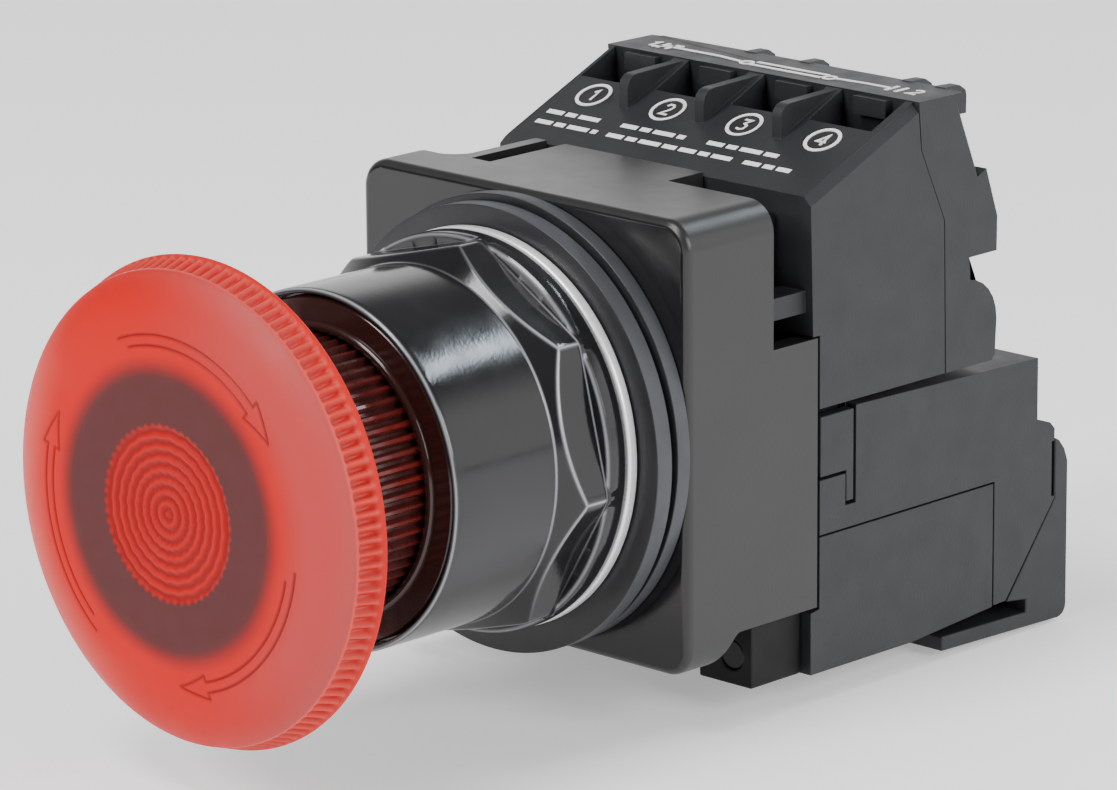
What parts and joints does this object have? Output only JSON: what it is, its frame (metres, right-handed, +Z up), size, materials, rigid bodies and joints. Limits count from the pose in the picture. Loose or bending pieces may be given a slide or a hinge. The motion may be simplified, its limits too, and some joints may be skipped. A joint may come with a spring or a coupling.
{
  "type": "emergency stop button",
  "caption": "Illuminated red mushroom push button that latches when pressed and twists to release, with panel nut, gaskets, contact block and lamp transformer module.",
  "frame": {"origin": "on the button axis, in the plane of the housing's front face, which is the back of the panel with the rear gasket between", "axes": "+Y goes back through the panel and is the direction of pressing, +Z is up, +X is to the right as the operator faces the button"},
  "size_m": [0.0462, 0.1021, 0.0566],
  "materials": {
    "red_lens": "frosted translucent red",
    "red_skirt": "dark translucent red, fluted",
    "gloss_black": "moulded, polished",
    "matte_grey": "moulded, fine texture",
    "dark_plastic": "moulded",
    "rubber_seal": "soft, matt",
    "zinc_steel": "zinc plated",
    "brass_parts": "plain",
    "silver_contacts": "silver plated",
    "cream_insulator": "moulded",
    "copper_coil": "enamelled copper wire",
    "lamp_glass": "clear"
  },
  "bodies": {
    "root": {"operator_bushing": "gloss_black", "ring_nut": "gloss_black", "housing": "gloss_black", "bracket_lug": "gloss_black", "contact_front_case": "matte_grey", "contact_rear_case": "matte_grey", "lamp_case_upper": "matte_grey", "lamp_case_lower": "matte_grey", "rear_cover": "matte_grey", "mounting_plate": "dark_plastic", "wiper_seal": "rubber_seal", "front_gasket": "rubber_seal", "rear_gasket": "rubber_seal", "metal_washer": "zinc_steel", "latch_ring": "zinc_steel", "block_screw_long": "zinc_steel", "block_screw_short": "zinc_steel", "transformer_core": "zinc_steel", "bracket_screw": "zinc_steel", "lamp_clamp_left": "zinc_steel", "lamp_clamp_right": "zinc_steel", "lamp_screw_left": "zinc_steel", "lamp_screw_right": "zinc_steel", "terminal_clamp_1": "zinc_steel", "terminal_clamp_2": "zinc_steel", "terminal_clamp_3": "zinc_steel", "terminal_clamp_4": "zinc_steel", "terminal_screw_1": "zinc_steel", "terminal_screw_2": "zinc_steel", "terminal_screw_3": "zinc_steel", "terminal_screw_4": "zinc_steel", "lamp_base": "brass_parts", "socket_contact": "brass_parts", "fixed_contact_1": "brass_parts", "fixed_contact_2": "brass_parts", "fixed_contact_3": "brass_parts", "fixed_contact_4": "brass_parts", "lamp_socket": "cream_insulator", "transformer_coil": "copper_coil", "lamp_bulb": "lamp_glass"},
    "plunger": {"plunger_sleeve": "dark_plastic", "actuator_plate": "zinc_steel", "return_spring": "zinc_steel"},
    "head": {"mushroom_lens": "red_lens", "lens_skirt": "red_skirt", "lens_gasket": "rubber_seal", "twist_sleeve": "zinc_steel", "release_cam": "brass_parts"},
    "break_carrier": {"break_rod": "cream_insulator", "break_bridge": "silver_contacts", "break_spring": "zinc_steel"},
    "make_carrier": {"make_rod": "cream_insulator", "make_spring": "zinc_steel"},
    "make_contact": {"make_bridge": "silver_contacts"},
    "latch": {"latch_tab": "matte_grey"}
  },
  "joints": [
    {"name": "press", "type": "slide", "parent": "root", "child": "plunger", "axis": [0, 1, 0], "range_m": [0, 0.006], "stiffness_N_per_m": 2000, "springref_m": -0.003, "deforming": ["return_spring"]},
    {"name": "twist", "type": "hinge", "parent": "plunger", "child": "head", "pos_m": [0, 0, 0], "axis": [0, 1, 0], "range_deg": [0, 45], "stiffness_Nm_per_rad": 0.05},
    {"name": "break_contact", "type": "slide", "parent": "root", "child": "break_carrier", "axis": [0, 1, 0], "range_m": [0, 0.006], "deforming": ["break_spring"]},
    {"name": "make_rod_slide", "type": "slide", "parent": "root", "child": "make_carrier", "axis": [0, 1, 0], "range_m": [0, 0.006], "deforming": ["make_spring"]},
    {"name": "make_contact_slide", "type": "slide", "parent": "root", "child": "make_contact", "axis": [0, 1, 0], "range_m": [0, 0.0033]},
    {"name": "latch_press", "type": "slide", "parent": "root", "child": "latch", "axis": [-1, 0, 0], "range_m": [0, 0.0008], "stiffness_N_per_m": 400}
  ],
  "couplings": [
    {"joint": "break_contact", "follows": "press", "ratio": 1},
    {"joint": "make_rod_slide", "follows": "press", "ratio": 1},
    {"joint": "make_contact_slide", "follows": "press", "ratio": 0.55}
  ]
}
